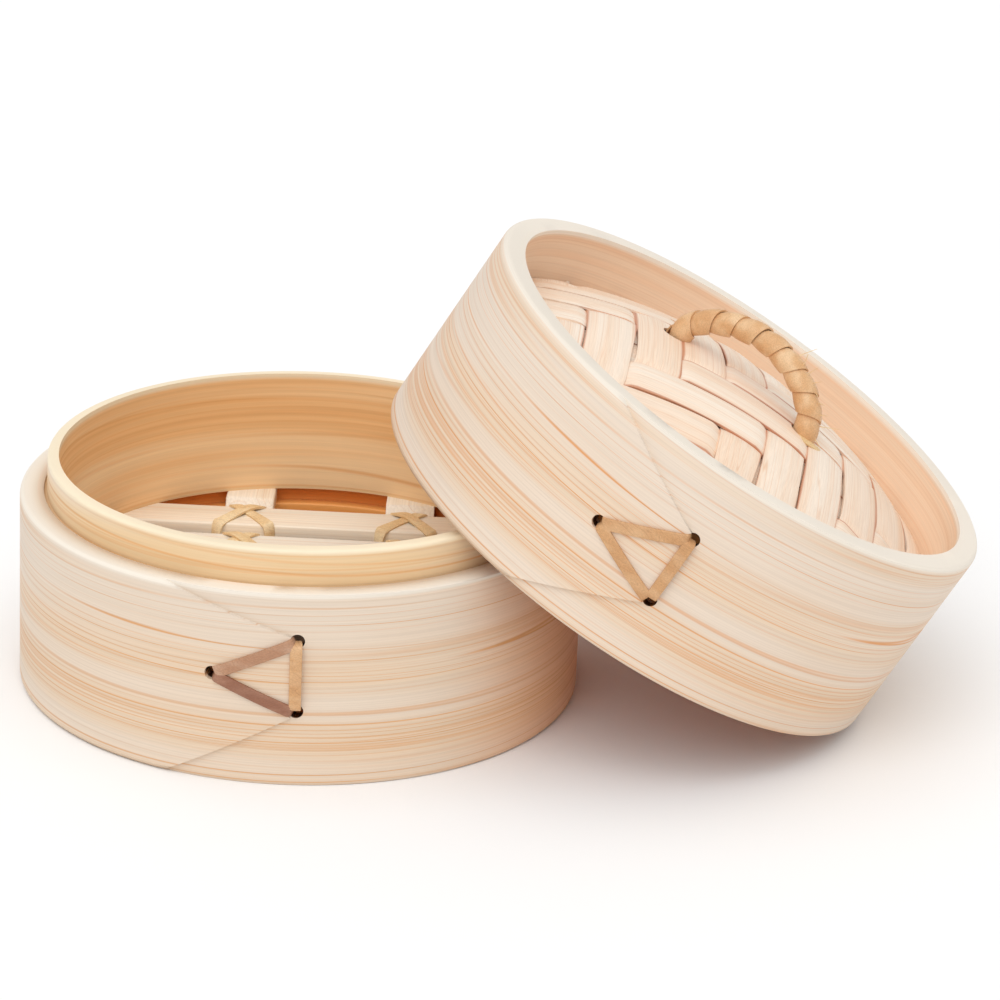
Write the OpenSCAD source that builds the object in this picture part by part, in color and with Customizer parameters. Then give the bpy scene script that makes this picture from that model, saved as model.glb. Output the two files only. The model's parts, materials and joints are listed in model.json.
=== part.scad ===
// Bamboo steamer basket with a woven, domed lid that leans on its collar.
// Origin: centre of the basket's open bottom, on the surface it stands on. +Z is up, +X is the way
// the lid leans. All lengths are millimetres.

/* [Hoops] */
// Outside diameter of the basket and of the lid
hoop_d = 100; // [98:1:102]
// Wall thickness of an outer hoop
hoop_t = 4.2; // [3.8:0.1:4.6]
// Height of the basket's outer hoop
basket_h = 35; // [34:0.5:36]
// Height of the lid's outer hoop
lid_h = 37.7; // [36.7:0.5:38.7]
// How far the collar stands above the basket's outer hoop
collar_rise = 6.4; // [5.9:0.1:6.6]
// Wall thickness of the collar
collar_t = 2; // [1.6:0.1:2.2]
// Gap all round between the collar and a lid or a second tier
collar_gap = 0.6; // [0.5:0.05:0.7]
// Depth of the socket under the basket and inside the lid's mouth
socket_depth = 7.6; // [7.4:0.1:7.8]

/* [Grate] */
// Height of the slats' top faces
grate_top = 18.5; // [17.5:0.5:19.5]
// Width of a slat
slat_w = 8.9; // [8.5:0.1:9.2]
// Gap between two slats
slat_gap = 5; // [4.8:0.1:5.4]
// Thickness of a slat
slat_t = 3; // [2.6:0.1:3.2]
// Width of a cross bar
bar_w = 9; // [8.5:0.1:9.5]
// Thickness of a cross bar
bar_t = 3; // [2.6:0.1:3.2]
// Place of the first cross bar along X
bar_1_x = -12.5; // [-14:0.5:-11]
// Place of the second cross bar along X
bar_2_x = 17.5; // [16:0.5:19]

/* [Lap joints] */
// Angle that a hoop's tongue covers
tongue_deg = 26.8; // [25:0.2:28]
// Height of the tongue's end
tongue_end_h = 14; // [13:0.5:15]
// Depth of the step beside the tongue
lap_step = 0.7; // [0.5:0.1:0.8]
// Width of a rattan lacing strand
lace_w = 2.1; // [1.9:0.1:2.3]
// Middle of the basket's tongue, as an angle round Z
basket_lap_at = -100; // [-104:1:-96]
// Middle of the lid's tongue, as an angle round the lid's axis
lid_lap_at = -106.8; // [-110:0.2:-103]

/* [Lid] */
// How far the lid leans
lid_tilt = 30.6; // [30.2:0.2:31]
// Height of the dome's edge above the lid's mouth
dome_edge = 27; // [26.5:0.5:27.5]
// Rise of the dome above its edge
dome_rise = 10.7; // [10.4:0.1:11]
// Distance from one strip to the next
strip_pitch = 8.7; // [8.5:0.1:8.8]
// Thickness of a strip
strip_t = 0.5; // [0.4:0.05:0.5]

/* [Handle] */
// Distance between the handle's feet
handle_span = 28.6; // [28:0.2:29.2]
// How far the handle's middle lies from the lid's axis
handle_shift = -1; // [-1.2:0.1:-0.8]
// Turn of the handle about the lid's axis
handle_turn = -24; // [-30:1:-18]
// Rise of the arch above its feet
handle_rise = 9.5; // [9:0.1:10]
// Diameter of the cane inside the handle
cane_d = 3; // [2.8:0.1:3.2]
// Diameter over the handle's binding
binding_d = 4.4; // [4.2:0.1:4.6]
// Diameter of a toggle peg
peg_d = 1.8; // [1.6:0.1:1.9]
// Length of a toggle peg
peg_l = 16; // [14:0.5:17]

/* [Hidden] */
$fn = 180;

hoop_r = hoop_d / 2;
bore_r = hoop_r - hoop_t;
socket_r = bore_r + 0.6;        // the stacking socket is a little wider than the wall above it
socket_cone = 0.4;              // height of the cone between the two
socket_gap = 0.2;               // from the socket's end up to the ring above it
touch = 0.05;                   // gap between pieces that are pressed together
collar_r = bore_r - collar_gap;
collar_in_r = collar_r - collar_t;
collar_top = basket_h + collar_rise;
liner_r = bore_r - touch;
edge_f = 1.1;                   // rounding of a hoop's outer edges
collar_f = 0.7;                 // rounding of the collar's top edge
collar_step = 0.4;              // from the basket hoop's top down to where the collar gets thinner
over = 1;                       // how far a cutter runs past what it cuts
edge_steps = 6;                 // segments in a rounded edge

slat_count = 5;

slat_pitch = slat_w + slat_gap;
slat_low = grate_top - slat_t;
bar_low = slat_low - bar_t;
end_gap = 0.1;
slat_r = liner_r - end_gap;
bar_r = collar_in_r - 2 * end_gap;
lash_w = 2.2;
lash_t = 0.6;
bar_x = [bar_1_x, bar_2_x];
bar_bend_y = (slat_count * slat_pitch - slat_gap) / 2 + lash_w + 2 * end_gap;   // where a bar's end rises
bar_rise_run = 0.8 * bar_t;

tongue_w = hoop_r * sin(tongue_deg / 2);       // half the tongue's length
tongue_mid = 20.1;                             // middle height of the basket tongue's end
lid_tongue_mid = 18.6;                         // the same on the lid
apex_x = -0.23 * tongue_w;                     // lacing hole nearest the tongue's root
apex_drop = 0.3;
hole_inset = 0.6;                              // from the tongue's end corners to the other holes
hole_r = 1.25;
hole_play = 0.15;
lace_t = 0.6;
lace_play = 0.1;                               // between a strand and the groove it lies in
lace_from = bore_r - 6;                        // start of the cutters that pass through the wall
lap_run = 66;                                  // angle over which the step fades out
lap_fade = tongue_deg / 2 + lap_run;
lap_shift = lap_step / cos(90 - lap_run);

// The leaning lid touches the table with its lower rim and the collar at two points.
table_gap = 0.02;
lean_gap = 0.3;
lid_z = hoop_r * sin(lid_tilt) + table_gap;
lean_cos = (collar_top - lid_z) / (bore_r * sin(lid_tilt));
lean_y = bore_r * sqrt(1 - lean_cos * lean_cos);
lean_x = sqrt(pow(collar_r + lean_gap, 2) - lean_y * lean_y);
lid_x = lean_x + bore_r * lean_cos * cos(lid_tilt);

strip_count = 11;
strip_gap = 0.6;
strip_w = strip_pitch - strip_gap;
weave_amp = 0.45;               // how far a strip rises and dips from the dome's middle surface
weave_turn = 1;                 // length over which a strip changes sides
float_len = 3;                  // strips that one strip passes over, then under
weave_phase = 57;               // strips by which the twill's diagonal is shifted
weave_r = liner_r - 0.2;
strip_end_gap = 0.3;
dome_r = (weave_r * weave_r + dome_rise * dome_rise) / (2 * dome_rise);
dome_c = dome_edge + dome_rise - dome_r;       // height of the dome's centre
lining_gap = 0.85;
lining_t = 0.6;
edge_seat = 1.9;                // from the dome's middle surface down to the ring under its edge
liner_top = dome_edge - edge_seat;

foot_x = handle_span / 2;
foot_z = 37.5;                  // where the arch leaves the straight legs
peg_z = 32.6;
leg_end = 1.6;                  // length of leg below a peg's middle
leg_low = peg_z - leg_end;
corner_r = 6.5;
crown_r = (pow(foot_x - corner_r, 2) + handle_rise * handle_rise - corner_r * corner_r)
    / (2 * (handle_rise - corner_r));
join_deg = atan2(crown_r - handle_rise, foot_x - corner_r);
peg_gap = 0.05;
leg_hole_r = cane_d / 2 + 0.2;

strips = [0 : strip_count - 1];
slats = [0 : slat_count - 1];
mid_strip = (strip_count - 1) / 2;

function number(i) = i < 9 ? str("0", i + 1) : str(i + 1);
function slat_y(i) = (i - (slat_count - 1) / 2) * slat_pitch;
function arc(c, r, a0, a1, n) = [for (i = [0 : n])
    let (a = a0 + (a1 - a0) * i / n)
    c + r * [cos(a), sin(a)]];
function dome(x, y) = dome_c + sqrt(dome_r * dome_r - x * x - y * y);
function foot_at(s) = s * foot_x + handle_shift;

// 1 where the strip across the lean lies on top of the strip along it, -1 where it lies under it.
function side(across, along) = (across - along + weave_phase) % (2 * float_len) < float_len ? 1 : -1;

// ---- shared shapes ----

module in_lid() {
    translate([lid_x, 0, lid_z]) rotate([0, lid_tilt, 0]) children();
}

// A solid drum with rounded outer edges.
module drum(r, h, f) {
    rotate_extrude() polygon(concat(
        [[0, 0]],
        arc([r - f, f], f, -90, 0, edge_steps),
        arc([r - f, h - f], f, 0, 90, edge_steps),
        [[0, h]]
    ));
}

module tube(r_out, r_in, z0, z1) {
    translate([0, 0, z0]) difference() {
        cylinder(r = r_out, h = z1 - z0);
        translate([0, 0, -over]) cylinder(r = r_in, h = z1 - z0 + 2 * over);
    }
}

// Lifts a flat outline that lies on the wall, at the angle "at", out through the wall.
module through_wall(at, r_from, r_to) {
    rotate([0, 0, at]) translate([r_from, 0, 0]) rotate([90, 0, 90])
        linear_extrude(r_to - r_from) children();
}

// The tapering tongue at a hoop's outer end: full height at its root, narrow at its end.
module tongue_outline(h, mid) {
    polygon([
        [-tongue_w - over, -over],
        [-tongue_w, 0],
        [tongue_w, mid - tongue_end_h / 2],
        [tongue_w, mid + tongue_end_h / 2],
        [-tongue_w, h],
        [-tongue_w - over, h + over]
    ]);
}

function lace_holes(mid) = [
    [apex_x, mid - apex_drop],
    [tongue_w, mid + tongue_end_h / 2 - hole_inset],
    [tongue_w, mid - tongue_end_h / 2 + hole_inset]
];

// Everything beside the tongue, cut back by a circle that is set off centre so that the step
// fades into the wall.
module lap_step_cut(h, at, mid) {
    reach = 1.15 * hoop_r;
    difference() {
        rotate([0, 0, at]) translate([0, 0, -over]) linear_extrude(h + 2 * over) polygon(concat(
            [[0, 0]],
            [for (a = [-tongue_deg / 2, 0, lap_fade / 2, lap_fade]) reach * [cos(a), sin(a)]]
        ));
        rotate([0, 0, at + lap_fade + 90]) translate([lap_shift, 0, -2 * over])
            cylinder(r = hoop_r, h = h + 4 * over);
        through_wall(at, bore_r - 2 * over, 2 * reach - hoop_r) tongue_outline(h, mid);
    }
}

// A wound hoop: drum, bore, the step beside its tongue, and the lacing's holes and inner groove.
module wound_hoop(h, at, mid) {
    difference() {
        drum(hoop_r, h, edge_f);
        translate([0, 0, -over]) cylinder(r = bore_r, h = h + 2 * over);
        lap_step_cut(h, at, mid);
        through_wall(at, lace_from, hoop_r + over) for (p = lace_holes(mid)) translate(p) circle(r = hole_r);
        intersection() {
            tube(bore_r + lace_t + lace_play, bore_r - over, 0, h);
            through_wall(at, lace_from, hoop_r) lace_outline(mid, lace_w + 3 * lace_play);
        }
    }
}

module lace_outline(mid, w) {
    holes = lace_holes(mid);
    for (i = [0 : 2]) {
        a = holes[i];
        b = holes[(i + 1) % 3];
        translate(a) rotate(atan2(b.y - a.y, b.x - a.x)) translate([0, -w / 2]) square([norm(b - a), w]);
        translate(a) circle(r = w / 2 + touch);
    }
}

// Three strands outside, three inside, and a leg through each hole.
module lacing(h, at, mid) {
    intersection() {
        tube(hoop_r + touch + lace_t, hoop_r + touch, 0, h);
        through_wall(at, bore_r, hoop_r + 2 * over) lace_outline(mid, lace_w);
    }
    intersection() {
        tube(bore_r + lace_t, bore_r + touch, 0, h);
        through_wall(at, lace_from, hoop_r) lace_outline(mid, lace_w);
    }
    intersection() {
        tube(hoop_r + touch + lace_t / 2, bore_r + touch + lace_t / 2, 0, h);
        through_wall(at, lace_from, hoop_r + 2 * over)
            for (p = lace_holes(mid)) translate(p) circle(r = hole_r - hole_play);
    }
}

// ---- basket ----

module basket_outer_hoop() {
    color("BlanchedAlmond") difference() {
        wound_hoop(basket_h, basket_lap_at, tongue_mid);
        translate([0, 0, -over]) cylinder(r = socket_r, h = socket_depth - socket_cone + over);
        translate([0, 0, socket_depth - socket_cone]) cylinder(r1 = socket_r, r2 = bore_r, h = socket_cone);
    }
}

// The inner hoop: it holds the slats down and stands above the outer hoop as a collar.
module basket_collar() {
    step_z = basket_h - collar_step;
    color("AntiqueWhite") difference() {
        union() {
            translate([0, 0, grate_top]) cylinder(r = liner_r, h = step_z - grate_top);
            translate([0, 0, grate_top]) drum(collar_r, collar_top - grate_top, collar_f);
        }
        cylinder(r = collar_in_r, h = collar_top + over);
    }
}

module grate_seat_ring() {
    color("Wheat") tube(liner_r, collar_in_r, socket_depth + socket_gap, slat_low);
}

module grate_slat(i) {
    color("Linen") intersection() {
        translate([0, 0, slat_low]) cylinder(r = slat_r, h = slat_t);
        translate([-hoop_r, slat_y(i) - slat_w / 2, slat_low]) cube([2 * hoop_r, slat_w, slat_t]);
    }
}

// A cross bar runs under the slats, and its ends rise to their level, where the hoops hold them.
module grate_cross_bar(i) {
    out_y = bar_bend_y + bar_rise_run;
    low = [[-hoop_r, slat_low], [-out_y, slat_low], [-bar_bend_y, bar_low],
        [bar_bend_y, bar_low], [out_y, slat_low], [hoop_r, slat_low]];
    high = [for (k = [5 : -1 : 0]) low[k] + [0, bar_t]];
    color("Wheat") intersection() {
        union() {
            translate([0, 0, bar_low]) cylinder(r = bar_r, h = bar_t);
            translate([0, 0, slat_low]) cylinder(r = slat_r, h = bar_t);
        }
        translate([bar_x[i] - bar_w / 2, 0, 0]) rotate([90, 0, 90]) linear_extrude(bar_w)
            polygon(concat(low, high));
    }
}

// One strand's run across the top of a slat, from the cross bar's edge to the slat's back edge.
module lash_run(x_side) {
    run = slat_w + lash_w;
    start = [x_side * (bar_w / 2 + lash_t / 2), -slat_w / 2 - lash_w / 2];
    finish = [-x_side * lash_t, slat_w / 2];
    turn = atan2(finish.y - start.y, finish.x - start.x);
    intersection() {
        translate(start) rotate(turn) translate([-lash_w, -lash_w / 2]) square([run + 2 * lash_w, lash_w]);
        translate([-bar_w, -slat_w / 2 - lash_w]) square([2 * bar_w, slat_w + lash_w + lash_t]);
    }
}

// Binds one slat to the cross bar: two runs that cross on top, legs beside the bar, and a band
// under it.
module slat_lashing() {
    leg_y = -slat_w / 2 - lash_w;
    translate([0, 0, grate_top]) linear_extrude(lash_t) for (s = [-1, 1]) lash_run(s);
    for (s = [-1, 1]) translate([s > 0 ? bar_w / 2 : -bar_w / 2 - lash_t, leg_y, bar_low - lash_t])
        cube([lash_t, lash_w, grate_top - bar_low + 2 * lash_t]);
    translate([-bar_w / 2 - lash_t, leg_y, bar_low - lash_t]) cube([bar_w + 2 * lash_t, lash_w, lash_t]);
    translate([-lash_w, slat_w / 2, slat_low]) cube([2 * lash_w, lash_t, slat_t + lash_t]);
}

module grate_lashing(i) {
    color("BurlyWood") for (k = slats) translate([bar_x[i], slat_y(k), 0]) slat_lashing();
}

module basket_lacing() {
    color("Tan") lacing(basket_h, basket_lap_at, tongue_mid);
}

// ---- lid ----

module lid_outer_hoop() {
    color("BlanchedAlmond") in_lid() wound_hoop(lid_h, lid_lap_at, lid_tongue_mid);
}

// The ring inside the lid that the dome's edge sits on.
module lid_liner() {
    color("Wheat") in_lid() tube(liner_r, collar_in_r, socket_depth, liner_top);
}

module lid_lacing() {
    color("Tan") in_lid() lacing(lid_h, lid_lap_at, lid_tongue_mid);
}

module leg_holes() {
    rotate([0, 0, handle_turn]) for (s = [-1, 1]) translate([foot_at(s), 0, leg_low - over])
        cylinder(r = leg_hole_r, h = dome_rise, $fn = 24);
}

// The sheet of leaf under the weave.
module lid_lining() {
    color("Peru") in_lid() difference() {
        intersection() {
            translate([0, 0, dome_c]) sphere(r = dome_r - lining_gap);
            translate([0, 0, liner_top - over]) cylinder(r = weave_r, h = 2 * dome_rise);
        }
        translate([0, 0, dome_c]) sphere(r = dome_r - lining_gap - lining_t);
        leg_holes();
    }
}

// How far the strip with index "me" stands off the dome's middle surface at the place s along it.
// facing is 1 for the strips that run across the lean, and -1 for those that run along it.
function strip_side(me, other, facing) =
    facing > 0 ? side(me, other) : -side(other, me);
function strip_off(me, s, facing) =
    let (
        cell = s / strip_pitch + mid_strip,
        low = floor(cell),
        part = (cell - low - 0.5) * strip_pitch / weave_turn,
        a = strip_side(me, low, facing),
        b = strip_side(me, low + 1, facing)
    )
    weave_amp * (a + (b - a) * (1 + sin(90 * max(-1, min(1, 2 * part)))) / 2);

// Places along a strip: the middle of each crossing, and four round each change of sides.
function strip_stops(reach) =
    let (all = [for (k = [-mid_strip - 1 : mid_strip + 1]) each [
        k * strip_pitch,
        for (q = [-3, -1, 1, 3]) (k + 0.5) * strip_pitch + q * weave_turn / 6
    ]])
    concat([-reach], [for (s = all) if (abs(s) < reach - 0.1) s], [reach]);

// One strip as a ribbon that follows the dome, along Y, with its outer edge held inside the hoop.
module ribbon(me, facing) {
    mid = (me - mid_strip) * strip_pitch;
    low = mid - strip_w / 2;
    high = mid + strip_w / 2;
    inner = low * high < 0 ? 0 : min(abs(low), abs(high));
    widest = max(abs(low), abs(high));
    reach = sqrt(weave_r * weave_r - pow(low * high < 0 ? widest : inner, 2)) - strip_end_gap;
    stops = strip_stops(reach);
    rings = [for (s = stops)
        let (
            room = sqrt(weave_r * weave_r - s * s),
            x0 = max(low, -room),
            x1 = min(high, room),
            off = strip_off(me, s, facing)
        )
        each [
            [x0, s, dome(x0, s) + off - strip_t / 2],
            [x1, s, dome(x1, s) + off - strip_t / 2],
            [x1, s, dome(x1, s) + off + strip_t / 2],
            [x0, s, dome(x0, s) + off + strip_t / 2]
        ]
    ];
    last = 4 * (len(stops) - 1);
    polyhedron(rings, concat(
        [[0, 1, 2], [0, 2, 3], [last + 2, last + 1, last], [last + 3, last + 2, last]],
        [for (i = [0 : len(stops) - 2], k = [0 : 3])
            let (a = 4 * i + k, b = 4 * i + (k + 1) % 4)
            each [[b, a, a + 4], [b, a + 4, b + 4]]
        ]
    ));
}

// How near a leg of the handle passes to the middle of the strip with index i.
function leg_near(i, share) =
    min([for (s = [-1, 1]) abs(foot_at(s) * share - (i - mid_strip) * strip_pitch)]);

// A strip has holes where the handle's legs pass.
module weave_across(i) {
    color("Bisque") in_lid() difference() {
        ribbon(i, 1);
        if (leg_near(i, cos(handle_turn)) < strip_pitch / 2 + cane_d) leg_holes();
    }
}

module weave_along(i) {
    color("SeaShell") in_lid() difference() {
        mirror([1, -1, 0]) ribbon(i, -1);
        if (leg_near(i, sin(handle_turn)) < strip_pitch / 2 + cane_d) leg_holes();
    }
}

// ---- handle ----

// Points of the handle's centre line from foot to foot, each with the angle of its outward normal:
// a straight leg, three arcs that meet smoothly, and a leg.
function arch_arc(x, z, r, a0, a1, n) =
    [for (i = [0 : n]) let (a = a0 + (a1 - a0) * i / n) [x + r * cos(a), z + r * sin(a), a]];
function arch_line(foot) = concat(
    [[-foot_x, foot, 180]],
    arch_arc(corner_r - foot_x, foot_z, corner_r, 180, 180 - join_deg, 6),
    arch_arc(0, foot_z + handle_rise - crown_r, crown_r, 176 - join_deg, join_deg + 4, 10),
    arch_arc(foot_x - corner_r, foot_z, corner_r, join_deg, 0, 6),
    [[foot_x, foot, 0]]
);

function arch_skin(line, r, sides) = [for (p = line, k = [0 : sides - 1])
    let (b = 360 * k / sides)
    [p[0] + r * cos(b) * cos(p[2]), r * sin(b), p[1] + r * cos(b) * sin(p[2])]];

function skin_faces(count, sides, first, out) = [for (i = [0 : count - 2], k = [0 : sides - 1])
    let (a = first + i * sides + k, b = first + i * sides + (k + 1) % sides)
    each out
        ? [[a, b, a + sides], [b, b + sides, a + sides]]
        : [[b, a, a + sides], [b, a + sides, b + sides]]];

// A round section swept along the arch, solid or with a round hollow.
module arch(foot, section_r, hollow_r) {
    sides = 24;
    line = arch_line(foot);
    count = len(line);
    last = (count - 1) * sides;
    inner = count * sides;
    ends = hollow_r > 0
        ? [for (k = [0 : sides - 1])
            let (n = (k + 1) % sides)
            each [[k, inner + k, n], [n, inner + k, inner + n],
                [last + n, inner + last + k, last + k], [inner + last + n, inner + last + k, last + n]]]
        : [[for (k = [sides - 1 : -1 : 0]) k], [for (k = [0 : sides - 1]) last + k]];
    polyhedron(
        concat(arch_skin(line, section_r, sides), hollow_r > 0 ? arch_skin(line, hollow_r, sides) : []),
        concat(
            skin_faces(count, sides, 0, true),
            hollow_r > 0 ? skin_faces(count, sides, inner, false) : [],
            ends
        )
    );
}

module handle_cane() {
    color("Peru") in_lid() rotate([0, 0, handle_turn]) difference() {
        translate([handle_shift, 0, 0]) arch(leg_low, cane_d / 2, 0);
        for (s = [-1, 1]) translate([foot_at(s), 0, peg_z]) rotate([0, 0, -handle_turn]) rotate([90, 0, 0])
            cylinder(d = peg_d + 2 * peg_gap, h = 3 * cane_d, center = true);
    }
}

module handle_binding() {
    foot = dome(foot_at(1), 0) + weave_amp + strip_t;
    color("SandyBrown") in_lid() rotate([0, 0, handle_turn]) translate([handle_shift, 0, 0])
        arch(foot, binding_d / 2, cane_d / 2 + touch);
}

module toggle_peg(s) {
    color("NavajoWhite") in_lid()
        translate([foot_at(s) * cos(handle_turn), foot_at(s) * sin(handle_turn), peg_z])
            rotate([90, 0, 0]) cylinder(d = peg_d, h = peg_l, center = true);
}

module toggle_peg_back() {
    toggle_peg(-1);
}

module toggle_peg_front() {
    toggle_peg(1);
}

basket_outer_hoop();
basket_collar();
grate_seat_ring();
for (i = slats) grate_slat(i);
for (i = [0, 1]) grate_cross_bar(i);
for (i = [0, 1]) grate_lashing(i);
basket_lacing();
lid_outer_hoop();
lid_liner();
lid_lacing();
lid_lining();
for (i = strips) weave_across(i);
for (i = strips) weave_along(i);
handle_cane();
handle_binding();
toggle_peg_back();
toggle_peg_front();
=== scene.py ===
import json
import math
import random

import bpy
from mathutils import Matrix, Vector

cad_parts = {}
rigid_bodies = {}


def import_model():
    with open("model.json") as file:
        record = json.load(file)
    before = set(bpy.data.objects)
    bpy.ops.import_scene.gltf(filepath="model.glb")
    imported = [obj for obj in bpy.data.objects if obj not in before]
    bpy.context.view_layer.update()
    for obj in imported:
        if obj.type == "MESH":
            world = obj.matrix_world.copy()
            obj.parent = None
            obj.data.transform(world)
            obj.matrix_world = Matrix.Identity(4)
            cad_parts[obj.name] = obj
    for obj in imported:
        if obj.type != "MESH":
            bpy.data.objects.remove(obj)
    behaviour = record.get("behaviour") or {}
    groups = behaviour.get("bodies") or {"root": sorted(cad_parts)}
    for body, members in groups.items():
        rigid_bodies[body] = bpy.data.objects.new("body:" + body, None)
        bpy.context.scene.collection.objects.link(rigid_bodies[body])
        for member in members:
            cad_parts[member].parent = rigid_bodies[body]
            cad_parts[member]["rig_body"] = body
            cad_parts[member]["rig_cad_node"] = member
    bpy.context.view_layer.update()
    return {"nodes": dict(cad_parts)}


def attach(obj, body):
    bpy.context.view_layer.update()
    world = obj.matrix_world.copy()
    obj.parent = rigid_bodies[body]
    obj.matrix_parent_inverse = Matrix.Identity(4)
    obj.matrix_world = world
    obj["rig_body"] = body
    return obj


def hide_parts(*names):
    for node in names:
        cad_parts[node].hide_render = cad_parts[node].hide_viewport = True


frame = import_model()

mm = 0.001
lidPlace = {"centre": (57.782 * mm, 0, 25.472 * mm), "lean": math.radians(30.6)}
lidMatrix = Matrix.Translation(lidPlace["centre"]) @ Matrix.Rotation(lidPlace["lean"], 4, "Y")


def deselectAll():
    if bpy.context.mode != "OBJECT":
        bpy.ops.object.mode_set(mode="OBJECT")
    bpy.ops.object.select_all(action="DESELECT")


def pick(piece):
    deselectAll()
    piece.select_set(True)
    bpy.context.view_layer.objects.active = piece


def named(name):
    piece = bpy.context.active_object  # the primitive that was just added
    piece.name = name
    piece.data.name = name
    return piece


def applyModifiers(piece):
    pick(piece)
    for modifier in list(piece.modifiers):
        bpy.ops.object.modifier_apply(modifier=modifier.name)


def applyPlace(piece, onLid=False):
    if onLid:
        piece.matrix_world = lidMatrix @ piece.matrix_world
    pick(piece)
    bpy.ops.object.transform_apply(location=True, rotation=True, scale=True)


def smooth(piece, angle=35):
    pick(piece)
    bpy.ops.object.shade_smooth_by_angle(angle=math.radians(angle))


def mergeDoubles(piece, distance):
    pick(piece)
    bpy.ops.object.mode_set(mode="EDIT")
    bpy.ops.mesh.select_all(action="SELECT")
    bpy.ops.mesh.remove_doubles(threshold=distance)
    bpy.ops.object.mode_set(mode="OBJECT")


def addBevel(piece, width, segments=2, angle=40):
    bevel = piece.modifiers.new("softEdges", "BEVEL")
    bevel.width = width
    bevel.segments = segments
    bevel.limit_method = "ANGLE"
    bevel.angle_limit = math.radians(angle)


def addSolidify(piece, thickness):
    wall = piece.modifiers.new("wall", "SOLIDIFY")
    wall.thickness = thickness
    wall.offset = -1  # inwards from the drawn face
    wall.use_even_offset = True


def finishPiece(piece, body, slotName, material, *cadNodes):
    if material:
        piece.data.materials.clear()
        piece.data.materials.append(material)
    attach(piece, body)
    if cadNodes:
        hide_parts(*cadNodes)


def roundWalls(piece, onLid=False):
    # The round walls shade as true cylinders, whatever triangles they are made of.
    least, upright = 42 * mm, 0.998  # smaller radii and tilted faces keep their own shading
    centre = Vector(lidPlace["centre"]) if onLid else Vector((0, 0, 0))
    axis = lidMatrix.to_3x3() @ Vector((0, 0, 1)) if onLid else Vector((0, 0, 1))
    mesh = piece.data
    normals = [corner.vector.copy() for corner in mesh.corner_normals]
    for face in mesh.polygons:
        for corner in face.loop_indices:
            away = mesh.vertices[mesh.loops[corner].vertex_index].co - centre
            away -= axis * away.dot(axis)
            outward = away.normalized()
            if away.length > least and abs(face.normal.dot(outward)) > upright:
                normals[corner] = outward if face.normal.dot(outward) > 0 else -outward
    mesh.normals_split_custom_set(normals)


def copyOfNode(node, name, flatten=True):
    pick(frame["nodes"][node])
    bpy.ops.object.duplicate()
    piece = named(name)
    world = piece.matrix_world.copy()
    piece.parent = None
    piece.matrix_world = world
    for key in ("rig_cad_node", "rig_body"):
        if key in piece:
            del piece[key]
    piece.hide_render = False
    piece.hide_viewport = False
    bpy.ops.object.mode_set(mode="EDIT")
    bpy.ops.mesh.select_all(action="SELECT")
    bpy.ops.mesh.remove_doubles(threshold=0.002 * mm)
    if flatten:
        bpy.ops.mesh.dissolve_limited(angle_limit=math.radians(0.4))  # flat faces made whole again
    bpy.ops.object.mode_set(mode="OBJECT")
    return piece


def gridPiece(name, alongCount, acrossCount, place):
    deselectAll()
    bpy.ops.mesh.primitive_grid_add(x_subdivisions=alongCount, y_subdivisions=acrossCount, size=2)
    piece = named(name)
    for vertex in piece.data.vertices:
        vertex.co = place(vertex.co.x, vertex.co.y)
    return piece


def strandPiece(name, points, normals, width, thickness, crown=0.0, acrossCount=4, taper=None):
    last = len(points) - 1

    def place(u, v):
        i = round((u + 1) / 2 * last)
        ahead = points[min(i + 1, last)] - points[max(i - 1, 0)]
        across = normals[i].cross(ahead).normalized()
        half = width / 2 * (taper(i / last) if taper else 1)
        return points[i] + across * v * half + normals[i] * crown * (1 - v * v)

    piece = gridPiece(name, last, acrossCount, place)
    addSolidify(piece, thickness)
    applyModifiers(piece)
    return piece


def smoothPath(points, count):
    # A rounded line through the given points.
    path = []
    last = len(points) - 1
    for step in range(count + 1):
        whole = min(step / count * last, last - 1e-6)
        k = int(whole)
        t = whole - k
        p0, p1, p2, p3 = (Vector(points[max(0, min(last, k + d))]) for d in (-1, 0, 1, 2))
        path.append(0.5 * ((2 * p1) + (p2 - p0) * t + (2 * p0 - 5 * p1 + 4 * p2 - p3) * t * t
                           + (3 * p1 - p0 - 3 * p2 + p3) * t * t * t))
    return path


def joined(name, parts):
    deselectAll()
    for part in parts:
        part.select_set(True)
    bpy.context.view_layer.objects.active = parts[0]
    if len(parts) > 1:
        bpy.ops.object.join()
    return named(name)


def tint(red, green, blue):
    # Paint values from 0 to 255 as the linear colour that a shader takes.
    linear = [((c / 255 + 0.055) / 1.055) ** 2.4 if c > 10 else c / 255 / 12.92 for c in (red, green, blue)]
    return (*linear, 1)


def turnNormals(piece, outward):
    pick(piece)
    bpy.ops.object.mode_set(mode="EDIT")
    bpy.ops.mesh.select_all(action="SELECT")
    if outward:
        bpy.ops.mesh.normals_make_consistent(inside=False)
    else:
        bpy.ops.mesh.flip_normals()
    bpy.ops.object.mode_set(mode="OBJECT")


def addNode(tree, kind, x, y, **values):
    node = tree.nodes.new(kind)
    node.location = (x, y)
    for key, value in values.items():
        setattr(node, key, value)
    return node


def mathNode(tree, operation, x, y, first, second=None, third=None, clamp=False):
    node = addNode(tree, "ShaderNodeMath", x, y, operation=operation, use_clamp=clamp)
    for socket, value in zip(node.inputs, (first, second, third)):
        if value is None:
            continue
        if isinstance(value, (int, float)):
            socket.default_value = value
        else:
            tree.links.new(value, socket)
    return node.outputs[0]


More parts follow.
